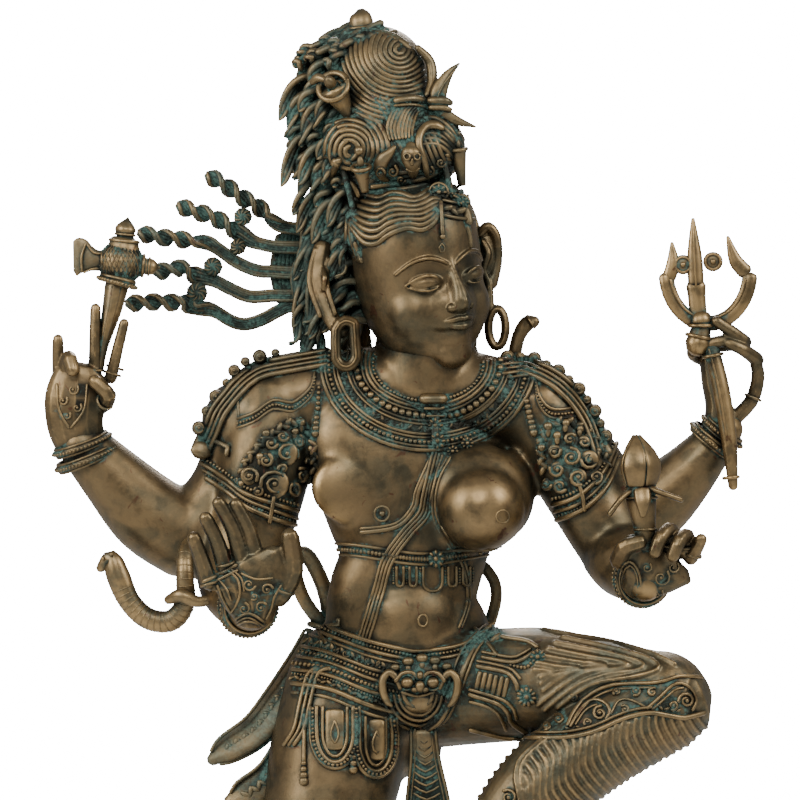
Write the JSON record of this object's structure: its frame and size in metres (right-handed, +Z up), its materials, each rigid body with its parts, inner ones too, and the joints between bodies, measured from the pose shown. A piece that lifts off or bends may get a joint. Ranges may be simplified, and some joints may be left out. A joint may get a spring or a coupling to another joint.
{
  "type": "ardhanarishvara statue",
  "caption": "Bronze statue of a dancing many-armed deity, half male and half female, with piled matted hair, trident, axe and lotus bud, standing on a round lotus base.",
  "frame": {"origin": "centre of the round base's underside", "axes": "+Z up along the statue's height; the chest faces -Y; the face is turned towards +X, as are the raised knee and the trident"},
  "size_m": [0.5225, 0.36, 1.0456],
  "materials": {
    "figure": "brown patinated bronze, rubbed golden on the high places, with green in the hollows",
    "lotus_base": "brown patinated bronze, rubbed golden on the petals' edges, with green in the hollows"
  },
  "bodies": {
    "root": {"figure": "figure", "lotus_base": "lotus_base"}
  },
  "joints": []
}
